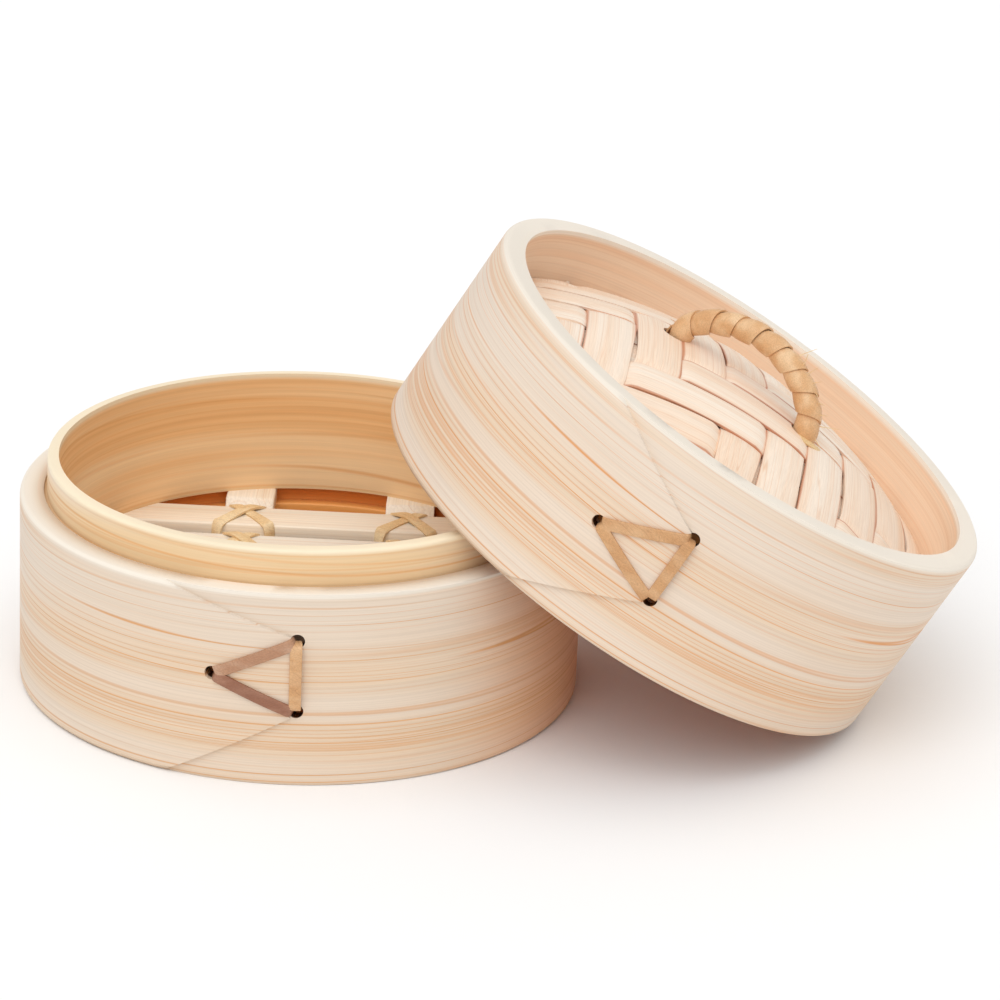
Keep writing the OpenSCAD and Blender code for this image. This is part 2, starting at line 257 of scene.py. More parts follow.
def rangeNode(tree, x, y, value, low, high, toLow=0.0, toHigh=1.0):
    node = addNode(tree, "ShaderNodeMapRange", x, y, interpolation_type="SMOOTHSTEP")
    tree.links.new(value, node.inputs["Value"])
    for socket, number in (("From Min", low), ("From Max", high), ("To Min", toLow), ("To Max", toHigh)):
        if isinstance(number, (int, float)):
            node.inputs[socket].default_value = number
        else:
            tree.links.new(number, node.inputs[socket])
    return node.outputs["Result"]


def noiseNode(tree, x, y, position, detail, roughness, shift):
    moved = addNode(tree, "ShaderNodeVectorMath", x - 180, y, operation="ADD")
    tree.links.new(position, moved.inputs[0])
    moved.inputs[1].default_value = shift
    noise = addNode(tree, "ShaderNodeTexNoise", x, y, noise_dimensions="3D")
    noise.inputs["Scale"].default_value = 1
    noise.inputs["Detail"].default_value = detail
    noise.inputs["Roughness"].default_value = roughness
    tree.links.new(moved.outputs[0], noise.inputs["Vector"])
    return noise.outputs["Fac"]


def mixNode(tree, x, y, factor, first, second, blend="MIX"):
    node = addNode(tree, "ShaderNodeMix", x, y, data_type="RGBA", blend_type=blend)
    for socket, value in ((node.inputs[0], factor), (node.inputs[6], first), (node.inputs[7], second)):
        if isinstance(value, (int, float, tuple)):
            socket.default_value = value
        else:
            tree.links.new(value, socket)
    return node.outputs[2]


def newGroup(name, inputs, outputs):
    group = bpy.data.node_groups.new(name, "ShaderNodeTree")
    for label, kind, value in inputs:
        socket = group.interface.new_socket(name=label, in_out="INPUT", socket_type=kind)
        if value is not None:
            socket.default_value = value
    for label, kind in outputs:
        group.interface.new_socket(name=label, in_out="OUTPUT", socket_type=kind)
    return group, addNode(group, "NodeGroupInput", -1200, 0), addNode(group, "NodeGroupOutput", 900, 0)


def makeGrainGroup():
    # Long fibres that run along the strip: thin wandering lines, finer lines in bands, and the fibre itself.
    group, start, end = newGroup(
        "bambooGrain",
        [("Position", "NodeSocketVector", None), ("Along", "NodeSocketVector", (12, 12, 12)),
         ("Across", "NodeSocketVector", (0, 0, 650)), ("Line Width", "NodeSocketFloat", 0.02)],
        [("Lines", "NodeSocketFloat"), ("Bands", "NodeSocketFloat"), ("Fibre", "NodeSocketFloat"),
         ("Patches", "NodeSocketFloat")])
    stretched = addNode(group, "ShaderNodeVectorMath", -1000, 100, operation="MULTIPLY")
    group.links.new(start.outputs["Position"], stretched.inputs[0])
    group.links.new(start.outputs["Along"], stretched.inputs[1])
    acrossed = addNode(group, "ShaderNodeVectorMath", -1000, -100, operation="MULTIPLY")
    group.links.new(start.outputs["Position"], acrossed.inputs[0])
    group.links.new(start.outputs["Across"], acrossed.inputs[1])

    def streaks(x, y, alongScale, acrossScale, detail, roughness, shift):
        near = addNode(group, "ShaderNodeVectorMath", x - 540, y, operation="MULTIPLY")
        group.links.new(stretched.outputs[0], near.inputs[0])
        near.inputs[1].default_value = (alongScale,) * 3
        far = addNode(group, "ShaderNodeVectorMath", x - 360, y, operation="MULTIPLY_ADD")
        group.links.new(acrossed.outputs[0], far.inputs[0])
        far.inputs[1].default_value = (acrossScale,) * 3
        group.links.new(near.outputs[0], far.inputs[2])
        return noiseNode(group, x, y, far.outputs[0], detail, roughness, shift)

    wander = streaks(-300, 500, 0.4, 0.35, 1, 0.4, (3.1, 7.7, 1.3))
    fine = streaks(-300, 250, 0.5, 1.9, 1, 0.4, (11.3, 2.9, 8.1))
    hair = streaks(-300, 0, 2.0, 5.5, 2, 0.6, (5.9, 13.7, 4.4))
    fade = streaks(-300, -250, 1.6, 0.5, 2, 0.5, (21.1, 3.3, 9.6))
    bands = streaks(-300, -500, 0.5, 0.3, 2, 0.5, (1.7, 17.9, 6.2))
    patches = streaks(-300, -750, 1.5, 0.06, 2, 0.6, (9.2, 5.5, 15.8))

    def thinLine(x, y, value, centre, widthScale):
        away = mathNode(group, "ABSOLUTE", x + 180, y, mathNode(group, "SUBTRACT", x, y, value, centre))
        width = mathNode(group, "MULTIPLY", x, y - 160, start.outputs["Line Width"], widthScale)
        return rangeNode(group, x + 360, y, away, 0.0, width, 1.0, 0.0)

    ramp = addNode(group, "ShaderNodeVectorMath", -500, 800, operation="DOT_PRODUCT")
    group.links.new(acrossed.outputs[0], ramp.inputs[0])
    ramp.inputs[1].default_value = (0.92, 0.92, 0.92)
    phase = mathNode(group, "MULTIPLY_ADD", -300, 800, wander, 5.5, ramp.outputs["Value"])
    even = thinLine(0, 600, mathNode(group, "FRACT", -150, 700, phase), 0.5, 2.6)
    number = addNode(group, "ShaderNodeTexWhiteNoise", 0, 900, noise_dimensions="1D")
    group.links.new(mathNode(group, "FLOOR", -150, 900, phase), number.inputs["W"])
    weight = rangeNode(group, 200, 900, number.outputs["Value"], 0.0, 0.9, 0.25, 1.0)
    fineLine = thinLine(0, 240, fine, 0.5, 1.2)
    fadeMask = rangeNode(group, 0, -250, fade, 0.34, 0.56, 0.3, 1.0)
    bandMask = rangeNode(group, 0, -500, bands, 0.36, 0.62)
    strong = mathNode(group, "MULTIPLY", 560, 500, even, weight)
    strong = mathNode(group, "MULTIPLY", 620, 400, strong, fadeMask)
    weak = mathNode(group, "MULTIPLY", 620, 200, fineLine, mathNode(group, "MULTIPLY", 460, 120, bandMask, 0.5))
    lines = mathNode(group, "MAXIMUM", 760, 300, strong, weak, clamp=True)
    group.links.new(lines, end.inputs["Lines"])
    group.links.new(bandMask, end.inputs["Bands"])
    group.links.new(hair, end.inputs["Fibre"])
    group.links.new(rangeNode(group, 500, -750, patches, 0.35, 0.68), end.inputs["Patches"])
    return group


def makeStripToneGroup():
    # One even tone for each strip of the weave.
    group, start, end = newGroup(
        "stripTone",
        [("Place", "NodeSocketFloat", 0.0), ("Pitch", "NodeSocketFloat", 0.0087), ("Seed", "NodeSocketFloat", 0.0)],
        [("Tone", "NodeSocketFloat"), ("Edge", "NodeSocketFloat")])
    index = mathNode(group, "DIVIDE", -900, 0, start.outputs["Place"], start.outputs["Pitch"])
    shifted = mathNode(group, "ADD", -700, 0, index, 0.5)
    inStrip = mathNode(group, "SUBTRACT", -500, -300, mathNode(group, "FRACT", -700, -300, shifted), 0.5)
    # Edge marks the strip's edges, which carry painted shade for the gaps.
    edge = rangeNode(group, -100, -300, mathNode(group, "ABSOLUTE", -300, -300, inStrip), 0.44, 0.49)
    group.links.new(edge, end.inputs["Edge"])
    index = mathNode(group, "FLOOR", -500, 0, shifted)
    index = mathNode(group, "ADD", -300, 0, index, start.outputs["Seed"])
    tone = addNode(group, "ShaderNodeTexWhiteNoise", 0, 0, noise_dimensions="1D")
    group.links.new(index, tone.inputs["W"])
    group.links.new(tone.outputs["Value"], end.inputs["Tone"])
    return group


grainGroup = makeGrainGroup()
toneGroup = makeStripToneGroup()


def bambooMaterial(name, look, onLid=False):
    material = bpy.data.materials.new(name)
    material.use_nodes = True
    tree = material.node_tree
    tree.nodes.clear()
    out = addNode(tree, "ShaderNodeOutputMaterial", 1500, 0)
    shader = addNode(tree, "ShaderNodeBsdfPrincipled", 1200, 0)
    tree.links.new(shader.outputs["BSDF"], out.inputs["Surface"])
    shader.inputs["Specular IOR Level"].default_value = 0.35
    coords = addNode(tree, "ShaderNodeTexCoord", -1200, 0)
    mapping = addNode(tree, "ShaderNodeMapping", -1000, 0, vector_type="TEXTURE")
    if onLid:
        mapping.inputs["Location"].default_value = lidPlace["centre"]
        mapping.inputs["Rotation"].default_value = (0, lidPlace["lean"], 0)
    tree.links.new(coords.outputs["Object"], mapping.inputs["Vector"])
    grain = addNode(tree, "ShaderNodeGroup", -700, 0, node_tree=grainGroup)
    tree.links.new(mapping.outputs[0], grain.inputs["Position"])
    grain.inputs["Along"].default_value = look["along"]
    grain.inputs["Across"].default_value = look["across"]
    grain.inputs["Line Width"].default_value = look["lineWidth"]
    base = mixNode(tree, -300, 300, grain.outputs["Bands"], tint(*look["pale"]), tint(*look["deep"]))
    patch = mathNode(tree, "MULTIPLY", -300, 100, grain.outputs["Patches"], look.get("patch", 0.35))
    base = mixNode(tree, -50, 300, patch, base, tint(*look["warm"]))
    lineMask = mathNode(tree, "MULTIPLY", -300, -100, grain.outputs["Lines"], look["lineStrength"])
    if "inner" in look:
        # The wall's inner side has its own colour and line strength; the saturated orange on the basket hoop's and
        # collar's inner side is painted shade and warm bounced light inside the basket.
        split = addNode(tree, "ShaderNodeSeparateXYZ", -700, -1100)
        tree.links.new(mapping.outputs[0], split.inputs[0])
        squareX = mathNode(tree, "MULTIPLY", -500, -1100, split.outputs["X"], split.outputs["X"])
        square = mathNode(tree, "MULTIPLY_ADD", -300, -1100, split.outputs["Y"], split.outputs["Y"], squareX)
        radius = mathNode(tree, "SQRT", -100, -1100, square)
        innerEdge = look["innerRadius"] * mm
        inside = rangeNode(tree, 50, -1100, radius, innerEdge, innerEdge + 0.4 * mm, 1.0, 0.0)
        innerToneAndShade = mixNode(tree, 50, -900, grain.outputs["Bands"], tint(*look["inner"]), tint(*look["innerDeep"]))
        base = mixNode(tree, 300, 600, inside, base, innerToneAndShade)
        if "paintedHoleShade" in look:
            # Painted shade: the walls inside the lacing holes are painted dark brown, where shade falls into the
            # holes.
            deep = rangeNode(tree, 50, -1300, radius, 48.95 * mm, 49.2 * mm, 1.0, 0.0)
            notInner = mathNode(tree, "SUBTRACT", 50, -1450, 1.0, inside, clamp=True)
            high = rangeNode(tree, 50, -1600, split.outputs["Z"], 7 * mm, 8 * mm)
            notTop = rangeNode(tree, 50, -1750, split.outputs["Z"], 30 * mm, 31 * mm, 1.0, 0.0)
            paintedHoleShade = mathNode(tree, "MULTIPLY", 250, -1300, mathNode(tree, "MULTIPLY", 150, -1300, deep, notInner),
                           mathNode(tree, "MULTIPLY", 150, -1600, high, notTop))
            base = mixNode(tree, 400, 600, paintedHoleShade, base, tint(*look["paintedHoleShade"]))
        if "side" in look:
            # Painted shade: the wall is painted darker and warmer towards +x, standing in for the lid's shadow and
            # its warm bounced light on that side of the basket.
            paintedLidShade = rangeNode(tree, 50, -1900, split.outputs["X"], 26 * mm, 50 * mm, 0.0, 0.6)
            base = mixNode(tree, 450, 600, paintedLidShade, base, tint(*look["side"]))
        less = mathNode(tree, "MULTIPLY", 50, -700, inside, 1 - look["innerLines"])
        lineMask = mathNode(tree, "MULTIPLY", 200, -300, lineMask, mathNode(tree, "SUBTRACT", 200, -700, 1.0, less))
    if "rims" in look:
        # The lines stop at the rounded rims. The top takes the rim colour, partly clean end grain and partly a
        # painted highlight where light falls on the top; a thin band at the bottom edge takes the darker foot
        # colour.
        split = addNode(tree, "ShaderNodeSeparateXYZ", -700, -400)
        tree.links.new(mapping.outputs[0], split.inputs[0])
        low, high = look["rims"]
        top = rangeNode(tree, -500, -400, split.outputs["Z"], (high - 1.3) * mm, (high - 0.4) * mm)
        bottom = rangeNode(tree, -500, -600, split.outputs["Z"], (low + 0.2) * mm, (low + 0.9) * mm, 1.0, 0.0)
        clean = mathNode(tree, "SUBTRACT", -300, -400, 1.0, top, clamp=True)
        lineMask = mathNode(tree, "MULTIPLY", -100, -200, lineMask, clean)
        topAmount = mathNode(tree, "MULTIPLY", -100, -400, top, 0.9)
        base = mixNode(tree, 100, 500, topAmount, base, tint(*look["rim"]))
        footAmount = mathNode(tree, "MULTIPLY", -100, -600, bottom, 0.45)
        base = mixNode(tree, 250, 500, footAmount, base, tint(*look["foot"]))
    if "strips" in look:
        split = addNode(tree, "ShaderNodeSeparateXYZ", -700, -800)
        tree.links.new(mapping.outputs[0], split.inputs[0])
        tone = addNode(tree, "ShaderNodeGroup", -500, -800, node_tree=toneGroup)
        tree.links.new(split.outputs[look["strips"]], tone.inputs["Place"])
        tone.inputs["Pitch"].default_value = look["pitch"] * mm
        tone.inputs["Seed"].default_value = look.get("seed", 0)
        amount = mathNode(tree, "MULTIPLY", -300, -800, tone.outputs["Tone"], look["stripTone"])
        base = mixNode(tree, 150, 300, amount, base, tint(*look["warm"]))
        # Painted shade: the strip edges are painted orange-brown, standing in for the shade in the gaps between the
        # strips.
        edge = mathNode(tree, "MULTIPLY", -300, -1000, tone.outputs["Edge"], 0.75)
        base = mixNode(tree, 250, 300, edge, base, tint(*look["edge"]))
    colour = mixNode(tree, 350, 300, lineMask, base, tint(*look["line"]))
    shade = rangeNode(tree, 350, 0, grain.outputs["Fibre"], 0.3, 0.7, 1 - look["fibre"], 1.0)
    grey = addNode(tree, "ShaderNodeCombineColor", 520, 0)
    for socket in grey.inputs:
        tree.links.new(shade, socket)
    colour = mixNode(tree, 700, 300, 1.0, colour, grey.outputs[0], "MULTIPLY")
    tree.links.new(colour, shader.inputs["Base Color"])
    rough = rangeNode(tree, 700, 0, grain.outputs["Fibre"], 0.25, 0.75, look["rough"] + 0.08, look["rough"] - 0.06)
    tree.links.new(rough, shader.inputs["Roughness"])
    height = mathNode(tree, "SUBTRACT", 700, -300, grain.outputs["Fibre"],
                      mathNode(tree, "MULTIPLY", 520, -300, lineMask, 0.5))
    bump = addNode(tree, "ShaderNodeBump", 950, -300)
    bump.inputs["Strength"].default_value = look["bump"]
    bump.inputs["Distance"].default_value = 0.12 * mm
    tree.links.new(height, bump.inputs["Height"])
    tree.links.new(bump.outputs["Normal"], shader.inputs["Normal"])
    return material


print("grain groups made")

hoopLook = {
    "pale": (231, 214, 195), "deep": (230, 206, 179), "warm": (228, 196, 163), "line": (218, 154, 92),
    "rim": (244, 235, 221), "foot": (196, 176, 158), "rims": (0, 35),
    # The dark brown hole colour is painted shade for the inside of the lacing holes.
    "along": (9, 9, 9), "across": (0, 0, 640), "lineWidth": 0.045, "lineStrength": 0.92, "paintedHoleShade": (70, 38, 22),
    "fibre": 0.08, "rough": 0.5, "bump": 0.3, "patch": 0.3,
    # The orange inner colours are painted shade and warm bounced light inside the basket.
    "inner": (255, 178, 100), "innerDeep": (248, 156, 76), "innerRadius": 46.7, "innerLines": 0.5,
}
# The side colour is painted shade for the basket's +x side, under the lid.
hoopBamboo = bambooMaterial("hoopBamboo", dict(hoopLook, side=(252, 176, 116)))
lidHoopLook = dict(hoopLook, pale=(235, 218, 200), line=(224, 150, 80), rims=(0, 37.7), deep=(234, 210, 184),
                   inner=(244, 216, 188), innerDeep=(236, 200, 168), innerLines=0.3)
lidHoopBamboo = bambooMaterial("lidHoopBamboo", lidHoopLook, True)

basketHoop = copyOfNode("basket_outer_hoop", "basketHoop", False)
smooth(basketHoop)
roundWalls(basketHoop)
finishPiece(basketHoop, "basket", "hoop_bamboo", hoopBamboo, "basket_outer_hoop")
lidHoop = copyOfNode("lid_outer_hoop", "lidHoop", False)
smooth(lidHoop)
roundWalls(lidHoop, True)
finishPiece(lidHoop, "lid", "hoop_bamboo", lidHoopBamboo, "lid_outer_hoop")


def ring(name, size):
    low, high = size["low"] * mm, size["high"] * mm
    deselectAll()
    bpy.ops.mesh.primitive_cylinder_add(vertices=192, radius=size["outside"] * mm, depth=high - low,
                                        end_fill_type="NOTHING", location=(0, 0, (low + high) / 2))
    piece = named(name)
    addSolidify(piece, size["wall"] * mm)
    addBevel(piece, size["rounding"] * mm, 4)
    applyModifiers(piece)
    applyPlace(piece)
    return piece


collarLook = {
    "pale": (240, 222, 198), "deep": (238, 209, 169), "warm": (236, 193, 131), "line": (228, 164, 98),
    "rim": (250, 234, 204), "foot": (226, 190, 140), "rims": (18.5, 41.4),
    "along": (10, 10, 10), "across": (0, 0, 330), "lineWidth": 0.07, "lineStrength": 0.7,
    "fibre": 0.08, "rough": 0.42, "bump": 0.3, "patch": 0.45,
    # The warmer inner colours are painted shade and warm bounced light inside the basket.
    "inner": (252, 217, 170), "innerDeep": (246, 196, 138), "innerRadius": 43.8, "innerLines": 1.0,
}
collarBamboo = bambooMaterial("collarBamboo", collarLook)

collar = copyOfNode("basket_collar", "collarHoop", False)
smooth(collar)
roundWalls(collar)
finishPiece(collar, "basket", "collar_bamboo", collarBamboo, "basket_collar")

seatRingSize = {"outside": 45.75, "wall": 2.5, "low": 7.8, "high": 15.5, "rounding": 0.4}
lidLinerSize = {"outside": 45.75, "wall": 2.5, "low": 7.6, "high": 25.1, "rounding": 0.4}
# Painted shade: the seat ring and lid liner are painted a saturated orange, rims included, for the shade and warm
# bounced light deep below the collar and inside the lid.
linerShadeLook = dict(collarLook, rims=(7.8, 25.1), pale=(255, 184, 108), deep=(248, 162, 84), warm=(244, 156, 80),
                 rim=(252, 176, 98))
linerShadeLook.pop("inner")
seatBamboo = bambooMaterial("seatBamboo", dict(linerShadeLook, rims=(7.8, 15.5)))
lidLinerBamboo = bambooMaterial("lidLinerBamboo", linerShadeLook, True)

seatRing = ring("seatRing", seatRingSize)
smooth(seatRing, 50)
finishPiece(seatRing, "basket", "liner_bamboo", seatBamboo, "grate_seat_ring")
lidLiner = ring("lidLiner", lidLinerSize)
applyPlace(lidLiner, True)
smooth(lidLiner, 50)
finishPiece(lidLiner, "lid", "liner_bamboo", lidLinerBamboo, "lid_liner")
print("hoops made")

grateSize = {"slats": 5, "bars": 2, "softEdge": 0.35}
grateLook = {
    "pale": (255, 248, 234), "deep": (254, 241, 220), "warm": (250, 230, 198), "line": (230, 190, 146),
    "along": (14, 0, 0), "across": (0, 500, 500), "lineWidth": 0.05, "lineStrength": 0.4,
    "fibre": 0.10, "rough": 0.42, "bump": 0.35, "patch": 0.35,
}
barLook = dict(grateLook, along=(0, 14, 0), across=(500, 0, 500))
slatBamboo = bambooMaterial("slatBamboo", grateLook)
barBamboo = bambooMaterial("barBamboo", barLook)


def gratePiece(node, name, material):
    piece = copyOfNode(node, name)
    addBevel(piece, grateSize["softEdge"] * mm, 2, 30)
    applyModifiers(piece)
    smooth(piece, 40)
    finishPiece(piece, "basket", "grate_bamboo", material, node)


for index in range(grateSize["slats"]):
    gratePiece(f"grate_slat_{index + 1}", f"slat{index + 1}", slatBamboo)
for index in range(grateSize["bars"]):
    gratePiece(f"grate_cross_bar_{index + 1}", f"crossBar{index + 1}", barBamboo)

lashingSize = {
    "width": 2.1 * mm, "thickness": 0.45 * mm, "barHalf": 4.5, "slatHalf": 4.45, "slatTop": 18.5, "barLow": 12.5,
    "barsAt": (-12.5, 17.5), "slatPitch": 13.9,
}
rattanLook = {
    "pale": (228, 184, 138), "deep": (218, 168, 118), "warm": (202, 148, 100), "line": (166, 110, 70),
    "along": (60, 60, 60), "across": (500, 500, 1500), "lineWidth": 0.05, "lineStrength": 0.4,
    "fibre": 0.18, "rough": 0.42, "bump": 0.5, "patch": 0.5,
}
lashLook = dict(rattanLook, pale=(252, 228, 184), deep=(244, 212, 160), warm=(234, 192, 136), line=(206, 158, 108))
lashingRattan = bambooMaterial("lashingRattan", lashLook)


def crossingStrand(side, lift):
    barHalf, slatHalf = lashingSize["barHalf"], lashingSize["slatHalf"]
    top, low = lashingSize["slatTop"] + 0.28, lashingSize["barLow"] - 0.3
    points = [(-side * 0.2, -slatHalf - 1.5, low - 0.1), (side * (barHalf - 0.4), -slatHalf - 1.5, low),
              (side * (barHalf + 0.5), -slatHalf - 1.3, low + 1.2),
              (side * (barHalf + 0.6), -slatHalf - 0.9, top - 2.4),
              (side * (barHalf + 0.2), -slatHalf - 0.4, top - 0.3),
              (side * (barHalf - 0.5), -slatHalf + 0.5, top + 0.1),
              (side * 1.9, -0.6, top + lift * 0.6), (side * -0.3, slatHalf - 2.3, top + lift),
              (side * -2.0, slatHalf - 0.4, top + 0.15), (side * -2.5, slatHalf + 0.35, top - 0.8),
              (side * -2.5, slatHalf + 0.4, top - 2.8)]
    normals = [(0, 0, -1), (0, -0.2, -1), (side, -0.3, -0.3), (side, -1, 0), (side * 0.4, -1, 0.5), (0, -0.4, 1),
               (0, 0, 1), (0, 0, 1), (0, 0.2, 1), (0, 1, 0.5), (0, 1, 0)]
    path = [point * mm for point in smoothPath(points, 60)]
    facing = [normal.normalized() for normal in smoothPath(normals, 60)]
    return strandPiece("strand", path, facing, lashingSize["width"], lashingSize["thickness"], 0.12 * mm, 4)


for barIndex, barAt in enumerate(lashingSize["barsAt"]):
    first = joined("lashing", [crossingStrand(1, 0.1), crossingStrand(-1, 0.62)])
    copies = []
    for step in range(-2, 3):
        pick(first)
        bpy.ops.object.duplicate()
        crossing = named("crossing")
        flip = (step + barIndex) % 2
        bpy.ops.transform.resize(value=(-1 if flip else 1, 1, 1), center_override=(0, 0, 0))
        crossing.location = (barAt * mm, step * lashingSize["slatPitch"] * mm, 0)
        applyPlace(crossing)
        if flip:
            turnNormals(crossing, True)  # the mirrored copy is inside out
        copies.append(crossing)
    bpy.data.objects.remove(first)
    lashings = joined(f"lashings{barIndex + 1}", copies)
    smooth(lashings, 50)
    finishPiece(lashings, "basket", "lacing_rattan", lashingRattan, f"grate_lashing_{barIndex + 1}")
print("grate made")

lacingSize = {
    "width": 2.1 * mm, "thickness": 0.55 * mm, "out": 50.6 * mm, "hoopRadius": 50,
    "basketAt": -100, "lidAt": -106.8, "basketMid": 20.1, "lidMid": 18.6, "halfTongue": 11.588, "endHeight": 14,
    "bends": 24, "endGap": 0.005, "dip": 2.0 * mm, "dipShare": 0.06,
}
pinkRattanLook = dict(rattanLook, pale=(206, 166, 138), deep=(194, 148, 116), warm=(180, 130, 100))
darkRattanLook = dict(rattanLook, pale=(178, 130, 104), deep=(158, 108, 84), warm=(140, 92, 72))
pinkRattan = bambooMaterial("pinkRattan", pinkRattanLook)
darkRattan = bambooMaterial("darkRattan", darkRattanLook)
paleRattan = bambooMaterial("paleRattan", rattanLook)
lidRattan = bambooMaterial("lidRattan", rattanLook, True)


def lacing(name, at, middle, finishes):
    half, bends, gap = lacingSize["halfTongue"], lacingSize["bends"], lacingSize["endGap"]
    end = lacingSize["endHeight"] / 2 - 0.6
    corners = [(-0.23 * half, middle - 0.3), (half, middle + end), (half, middle - end)]
    strands = []
    for index in range(3):
        (x0, z0), (x1, z1) = corners[index], corners[(index + 1) % 3]
        points, normals = [], []
        for step in range(bends + 1):
            part = gap + (1 - 2 * gap) * (0.5 - 0.5 * math.cos(math.pi * step / bends))
            x, z = x0 + (x1 - x0) * part, z0 + (z1 - z0) * part
            near = min(part - gap, 1 - gap - part) / lacingSize["dipShare"]
            dip = max(0, 1 - near) ** 2  # the ends dive into the lacing holes
            radius = lacingSize["out"] - dip * lacingSize["dip"] - 0.06 * mm
            angle = math.radians(at) + math.asin(x / lacingSize["hoopRadius"])
            outward = Vector((math.cos(angle), math.sin(angle), 0))
            points.append(outward * radius + Vector((0, 0, z * mm)))
            normals.append(outward)
        strand = strandPiece("strand", points, normals, lacingSize["width"], lacingSize["thickness"], 0.06 * mm, 6,
                             lambda part: 1 - 0.2 * max(0, 1 - min(part, 1 - part) / 0.08))
        strand.data.materials.append(finishes[index])
        strands.append(strand)
    piece = joined(name, strands)
    addBevel(piece, 0.12 * mm, 2, 60)
    applyModifiers(piece)
    return piece


basketLacing = lacing("basketLacing", lacingSize["basketAt"], lacingSize["basketMid"],
                      (pinkRattan, paleRattan, darkRattan))
smooth(basketLacing, 40)
finishPiece(basketLacing, "basket", "lacing_rattan", None, "basket_lacing")
lidLacing = lacing("lidLacing", lacingSize["lidAt"], lacingSize["lidMid"], (lidRattan, lidRattan, lidRattan))
applyPlace(lidLacing, True)
smooth(lidLacing, 40)
finishPiece(lidLacing, "lid", "lacing_rattan", lidRattan, "lid_lacing")
print("lacing made")

weaveSize = {
    "count": 11, "pitch": 8.7, "half": 4.22, "thickness": 0.42, "edge": 27, "rise": 10.7, "radius": 45.5,
    "wave": 0.5, "crown": 0.3, "turn": 3.4, "float": 3, "shift": 57, "lift": 0.2, "edgeDrop": 1.0,
    "taper": 0.75, "ripple": 0.18, "sway": 0.35, "alongFaces": 96, "acrossFaces": 8,
}
acrossLook = {
    "pale": (255, 241, 224), "deep": (253, 231, 208), "warm": (248, 216, 186), "line": (234, 182, 140),
    # The edge colour is painted shade for the gaps between the strips.
    "edge": (196, 106, 52),
    "along": (0, 12, 0), "across": (1300, 0, 200), "lineWidth": 0.06, "lineStrength": 0.5,
    "fibre": 0.10, "rough": 0.42, "bump": 0.4, "patch": 0.25,
    "strips": 0, "pitch": 8.7, "stripTone": 0.3, "seed": 3,
}
alongLook = dict(acrossLook, along=(12, 0, 0), across=(0, 1300, 200), strips=1, seed=40)
leafLook = dict(rattanLook, pale=(226, 132, 62), deep=(210, 112, 46), warm=(190, 92, 34),
                along=(0, 20, 0), across=(500, 0, 200), lineStrength=0.6, rough=0.6)
acrossBamboo = bambooMaterial("acrossBamboo", acrossLook, True)
alongBamboo = bambooMaterial("alongBamboo", alongLook, True)
leafLining = bambooMaterial("leafLining", leafLook, True)
domeRadius = (weaveSize["radius"] ** 2 + weaveSize["rise"] ** 2) / (2 * weaveSize["rise"])
domeCentre = weaveSize["edge"] + weaveSize["rise"] - domeRadius
midStrip = (weaveSize["count"] - 1) / 2


def domeHeight(x, y):
    return domeCentre + math.sqrt(max(0, domeRadius ** 2 - x * x - y * y))


def topSide(across, along):
    return 1 if (across - along + weaveSize["shift"]) % (2 * weaveSize["float"]) < weaveSize["float"] else -1


def stripSide(me, other, isAcross):
    return topSide(me, other) if isAcross else -topSide(other, me)


def stripLift(me, s, isAcross):
    cell = s / weaveSize["pitch"] + midStrip
    low = math.floor(cell)
    part = (cell - low - 0.5) * weaveSize["pitch"] / weaveSize["turn"]
    part = max(-1, min(1, 2 * part))
    a, b = stripSide(me, low, isAcross), stripSide(me, low + 1, isAcross)
    return weaveSize["wave"] * (a + (b - a) * (1 + math.sin(math.pi / 2 * part)) / 2)


def weaveStrip(index, isAcross):
    rand = random.Random(100 * isAcross + index)
    middle = (index - midStrip) * weaveSize["pitch"]
    sway, swayAt = rand.uniform(-weaveSize["sway"], weaveSize["sway"]), rand.uniform(0, 6)
    low, high = middle - weaveSize["half"], middle + weaveSize["half"]
    inner = 0 if low * high < 0 else min(abs(low), abs(high))
    radius = weaveSize["radius"]
    reach = math.sqrt(radius ** 2 - inner ** 2) - 0.05 - (0.6 if inner > 38 else 0)  # the outermost are cut shorter

    def place(u, v):
        s = u * reach
        half = weaveSize["half"] - weaveSize["taper"] * (s / radius) ** 2
        half -= weaveSize["ripple"] * math.sin(s * 0.21 + swayAt)
        drift = sway * math.sin(s * 0.07 + swayAt)
        room = math.sqrt(max(0, radius ** 2 - s * s))
        left, right = max(middle - half + drift, -room), min(middle + half + drift, room)
        if left > right:
            left = right = (left + right) / 2
        c = left + (right - left) * (v + 1) / 2
        x, y = (c, s) if isAcross else (s, c)
        z = domeHeight(x, y) + weaveSize["lift"] - weaveSize["edgeDrop"] * (x * x + y * y) / radius ** 2
        z += stripLift(index, s, isAcross) + weaveSize["crown"] * (1 - v * v)
        return Vector((x, y, z)) * mm

    name = ("weaveAcross" if isAcross else "weaveAlong") + f"{index + 1:02d}"
    piece = gridPiece(name, weaveSize["alongFaces"], weaveSize["acrossFaces"], place)
    if not isAcross:
        turnNormals(piece, False)
    addSolidify(piece, weaveSize["thickness"] * mm)
    applyModifiers(piece)
    return piece


handleSize = {
    "span": 28.6, "shift": -1, "turn": math.radians(-24), "footZ": 37.5, "rise": 9.5, "corner": 6.5,
    "turns": 9.6, "start": 36.0, "holeRadius": 2.35, "holeMid": 36,
    "tapeRadius": 1.72, "tapeLap": 0.22, "tapeCrown": 0.26, "tapeThick": 0.32,
}
handleFeet = []
for sign in (-1, 1):
    reachOut = sign * handleSize["span"] / 2 + handleSize["shift"]
    handleFeet.append((reachOut * math.cos(handleSize["turn"]), reachOut * math.sin(handleSize["turn"])))


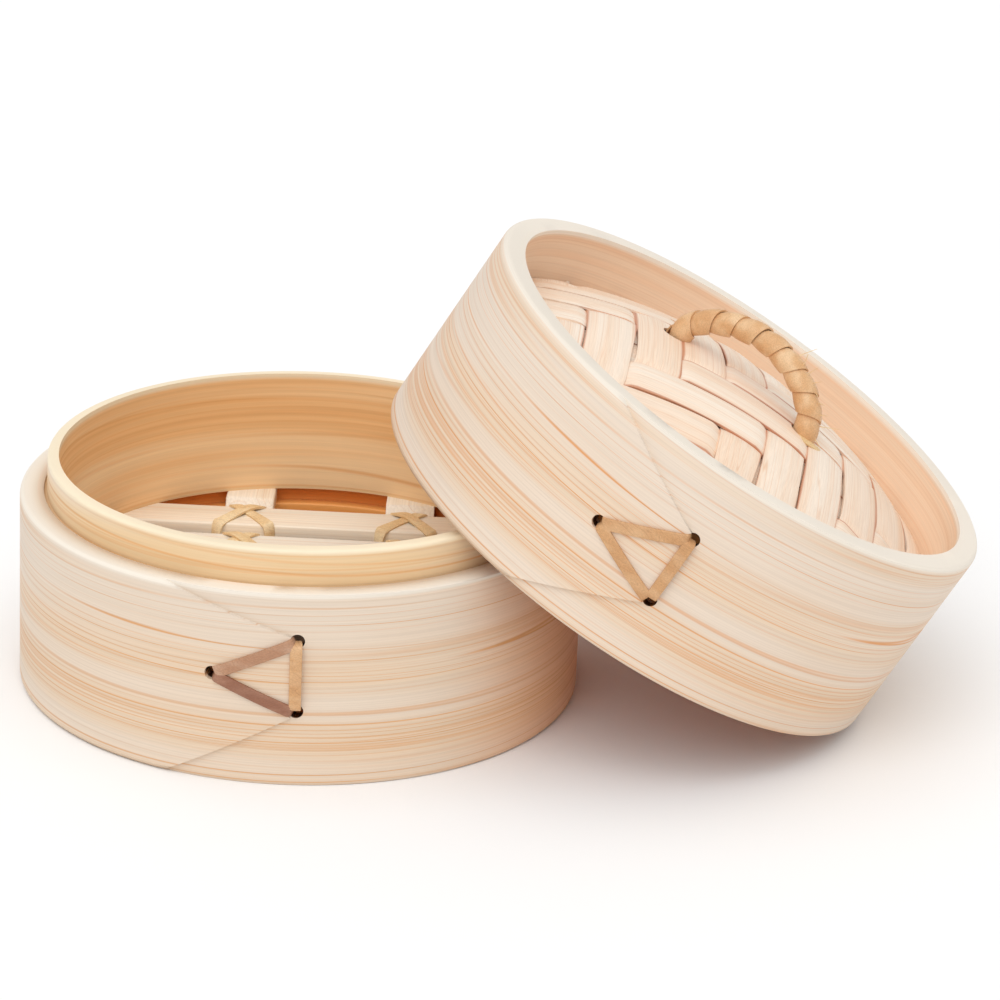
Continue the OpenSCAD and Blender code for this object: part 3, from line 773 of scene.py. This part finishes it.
def cutFootHoles(piece, isAcross, index):
    middle = (index - midStrip) * weaveSize["pitch"]
    for x, y in handleFeet:
        if abs((x if isAcross else y) - middle) > weaveSize["half"] + 2.4:
            continue
        deselectAll()
        bpy.ops.mesh.primitive_cylinder_add(vertices=24, radius=handleSize["holeRadius"] * mm, depth=14 * mm,
                                            location=((x - 0.5) * mm, (y - 0.2) * mm, handleSize["holeMid"] * mm))
        drill = named("drill")
        hole = piece.modifiers.new("footHole", "BOOLEAN")  # the handle's foot goes through the strip
        hole.operation = "DIFFERENCE"
        hole.solver = "EXACT"
        hole.object = drill
        applyModifiers(piece)
        bpy.data.objects.remove(drill)


for isAcross in (True, False):
    for index in range(weaveSize["count"]):
        strip = weaveStrip(index, isAcross)
        cutFootHoles(strip, isAcross, index)
        applyPlace(strip, True)
        smooth(strip, 45)
        node = ("weave_across_" if isAcross else "weave_along_") + f"{index + 1:02d}"
        finishPiece(strip, "lid", "weave_bamboo", acrossBamboo if isAcross else alongBamboo, node)
lining = copyOfNode("lid_lining", "leafLiningSheet")
smooth(lining, 40)
finishPiece(lining, "lid", "leaf_lining", leafLining, "lid_lining")
print("weave made")


def archPath():
    foot = handleSize["span"] / 2
    corner, rise, footZ = handleSize["corner"], handleSize["rise"], handleSize["footZ"]
    crown = ((foot - corner) ** 2 + rise ** 2 - corner ** 2) / (2 * (rise - corner))
    join = math.atan2(crown - rise, foot - corner)
    path = [(-foot, handleSize["start"] + 1.5 * k / 5, math.pi) for k in range(5)]
    for k in range(13):
        a = math.pi - join * k / 12
        path.append((corner - foot + corner * math.cos(a), footZ + corner * math.sin(a), a))
    for k in range(1, 32):
        a = math.pi - join + (2 * join - math.pi) * k / 32
        path.append((crown * math.cos(a), footZ + rise - crown + crown * math.sin(a), a))
    for k in range(13):
        a = join - join * k / 12
        path.append((foot - corner + corner * math.cos(a), footZ + corner * math.sin(a), a))
    path += [(foot, footZ - 1.5 * k / 5, 0) for k in range(1, 6)]
    return path


archPoints = archPath()
archLengths = [0]
for (x0, z0, _), (x1, z1, _) in zip(archPoints, archPoints[1:]):
    archLengths.append(archLengths[-1] + math.hypot(x1 - x0, z1 - z0))


def onArch(length):
    length = max(0, min(archLengths[-1] - 1e-6, length))
    k = next(i for i in range(len(archLengths) - 1) if archLengths[i + 1] >= length)
    part = (length - archLengths[k]) / (archLengths[k + 1] - archLengths[k])
    (x0, z0, a0), (x1, z1, a1) = archPoints[k], archPoints[k + 1]
    a = a0 + (a1 - a0) * part
    return Vector((x0 + (x1 - x0) * part, 0, z0 + (z1 - z0) * part)), Vector((math.cos(a), 0, math.sin(a)))


def windingPiece(name):
    total = archLengths[-1]
    pitch = total / handleSize["turns"]
    steps = int(handleSize["turns"] * 28)

    def place(u, v):
        whole = (u + 1) / 2 * handleSize["turns"]
        length = whole * pitch + v * pitch * 0.5
        centre, out = onArch(length)
        angle = whole * 2 * math.pi + 0.25 * math.sin(whole * 5.1)
        radial = out * math.cos(angle) + Vector((0, 1, 0)) * math.sin(angle)
        radius = handleSize["tapeRadius"] + handleSize["tapeLap"] * v + handleSize["tapeCrown"] * (1 - v * v)
        radius += 0.05 * math.sin(whole * 3.7)
        return (centre + radial * radius + Vector((handleSize["shift"], 0, 0))) * mm

    piece = gridPiece(name, steps, 5, place)
    addSolidify(piece, handleSize["tapeThick"] * mm)
    applyModifiers(piece)
    return piece


handleLook = dict(rattanLook, pale=(240, 202, 158), deep=(228, 180, 130), warm=(214, 158, 104), line=(180, 120, 72),
                  across=(900, 900, 900), lineStrength=0.12, bump=0.35)
handleRattan = bambooMaterial("handleRattan", handleLook, True)

binding = windingPiece("handleBinding")
binding.rotation_euler = (0, 0, handleSize["turn"])
applyPlace(binding)
applyPlace(binding, True)
mergeDoubles(binding, 0.01 * mm)
smooth(binding, 50)
finishPiece(binding, "lid", "handle_rattan", handleRattan, "handle_binding")

fibreSize = {"count": 9, "from": 0.62, "apart": 0.04, "width": 0.2, "thickness": 0.1, "seed": 11}


def strayFibres(name):
    rand = random.Random(fibreSize["seed"])
    fibres = []
    for index in range(fibreSize["count"]):
        centre, out = onArch(archLengths[-1] * (fibreSize["from"] + fibreSize["apart"] * index))
        side = rand.choice((-1, 1))
        start = centre + out * 1.9 + Vector((handleSize["shift"], side * 0.5, 0))
        lean = Vector((rand.uniform(-0.4, 0.6), side * rand.uniform(0.2, 0.9), rand.uniform(-0.5, 0.7)))
        length = rand.uniform(1.6, 3.4)
        middle = start + (out * 0.5 + lean * 0.4) * length * 0.5
        tip = start + (out * 0.7 + lean) * length
        path = smoothPath([start * mm, middle * mm, tip * mm], 10)
        normals = [Vector((0.1, 1, 0.1)).normalized()] * len(path)
        fibres.append(strandPiece("fibre", path, normals, fibreSize["width"] * mm, fibreSize["thickness"] * mm, 0, 1,
                                  lambda part: 1 - 0.7 * part))
    return joined(name, fibres)


fibres = strayFibres("handleFibres")
fibres.rotation_euler = (0, 0, handleSize["turn"])
applyPlace(fibres)
applyPlace(fibres, True)
smooth(fibres, 60)
finishPiece(fibres, "lid", "handle_rattan", lashingRattan)

footStrandSize = {
    "through": [(8.2, -7.6, 37.0), (9.6, -7.8, 37.75), (12.4, -8.2, 38.0), (15.2, -7.2, 37.6), (17.0, -5.6, 36.9),
                (17.8, -4.2, 36.2)],
    "facing": [(0, -0.25, 1), (0, -0.3, 1), (0.1, -0.35, 1), (0.2, -0.3, 1), (0.3, -0.1, 1), (0.4, 0, 1)],
    "width": 1.5 * mm, "thickness": 0.35 * mm, "steps": 30,
}
footPath = smoothPath([Vector(point) * mm for point in footStrandSize["through"]], footStrandSize["steps"])
footFacing = [normal.normalized() for normal in smoothPath(footStrandSize["facing"], footStrandSize["steps"])]
footStrand = strandPiece("handleFootStrand", footPath, footFacing, footStrandSize["width"],
                         footStrandSize["thickness"], 0.08 * mm, 4, lambda part: 1 - 0.35 * part)
applyPlace(footStrand, True)
smooth(footStrand, 50)
finishPiece(footStrand, "lid", "handle_rattan", lashingRattan)
cane = copyOfNode("handle_cane", "handleCane")
smooth(cane, 40)
finishPiece(cane, "lid", "handle_rattan", handleRattan, "handle_cane")

pegSize = {"radius": 0.9, "length": 16, "height": 32.6, "rounding": 0.25}
pegBamboo = bambooMaterial("pegBamboo", dict(grateLook, along=(0, 14, 0), across=(700, 0, 700)), True)


def togglePeg(name, foot, body, node):
    deselectAll()
    bpy.ops.mesh.primitive_cylinder_add(vertices=32, radius=pegSize["radius"] * mm, depth=pegSize["length"] * mm,
                                        rotation=(math.pi / 2, 0, 0),
                                        location=(foot[0] * mm, foot[1] * mm, pegSize["height"] * mm))
    piece = named(name)
    addBevel(piece, pegSize["rounding"] * mm, 3, 50)
    applyModifiers(piece)
    applyPlace(piece)
    applyPlace(piece, True)
    smooth(piece, 40)
    finishPiece(piece, body, "peg_bamboo", pegBamboo, node)


togglePeg("togglePegBack", handleFeet[0], "lid_carrier", "toggle_peg_back")
togglePeg("togglePegFront", handleFeet[1], "lid", "toggle_peg_front")
print("handle made")

stageSet = {
    "floorSize": 14, "floorTint": (0.95, 0.95, 0.95, 1), "sky": 0.68,
    "keyFrom": (-0.12, -0.7, 0.8), "keyStrength": 0.95, "topFrom": (-0.05, -0.1, 1.0), "topStrength": 0.55,
    "cameraAt": (0.04994, -0.71757, 0.31108), "cameraTurns": (1.195, 68.945, 2.453), "lens": 156.13,
}

deselectAll()
bpy.ops.mesh.primitive_plane_add(size=stageSet["floorSize"])
floor = named("floor")
floorPaint = bpy.data.materials.new("paleFloor")
floorPaint.use_nodes = True
floorShader = floorPaint.node_tree.nodes["Principled BSDF"]
floorShader.inputs["Base Color"].default_value = stageSet["floorTint"]
floorShader.inputs["Roughness"].default_value = 0.9
floorShader.inputs["Specular IOR Level"].default_value = 0.0
floor.data.materials.append(floorPaint)

world = bpy.data.worlds.new("studio")
bpy.context.scene.world = world
world.use_nodes = True
world.node_tree.nodes["Background"].inputs["Color"].default_value = (1, 1, 1, 1)
world.node_tree.nodes["Background"].inputs["Strength"].default_value = stageSet["sky"]


def softSun(name, place, strength, angle):
    bpy.ops.object.light_add(type="SUN", location=place)
    light = bpy.context.active_object
    light.name = name
    light.data.energy = strength
    light.data.angle = math.radians(angle)
    light.rotation_euler = Vector(place).to_track_quat("Z", "Y").to_euler()


softSun("keyLight", stageSet["keyFrom"], stageSet["keyStrength"], 50)
softSun("topLight", stageSet["topFrom"], stageSet["topStrength"], 60)

camera = bpy.data.objects.new("camera", bpy.data.cameras.new("camera"))
bpy.context.scene.collection.objects.link(camera)
camera.data.lens = stageSet["lens"]
camera.data.sensor_width = 36
camera.data.clip_start = 0.01
heading, pitch, roll = (math.radians(turn) for turn in stageSet["cameraTurns"])
camera.matrix_world = (Matrix.Translation(stageSet["cameraAt"]) @ Matrix.Rotation(heading, 4, "Z")
                       @ Matrix.Rotation(pitch, 4, "X") @ Matrix.Rotation(roll, 4, "Z"))
bpy.context.scene.camera = camera
bpy.context.scene.view_settings.view_transform = "Standard"
print("floor, light and camera set")
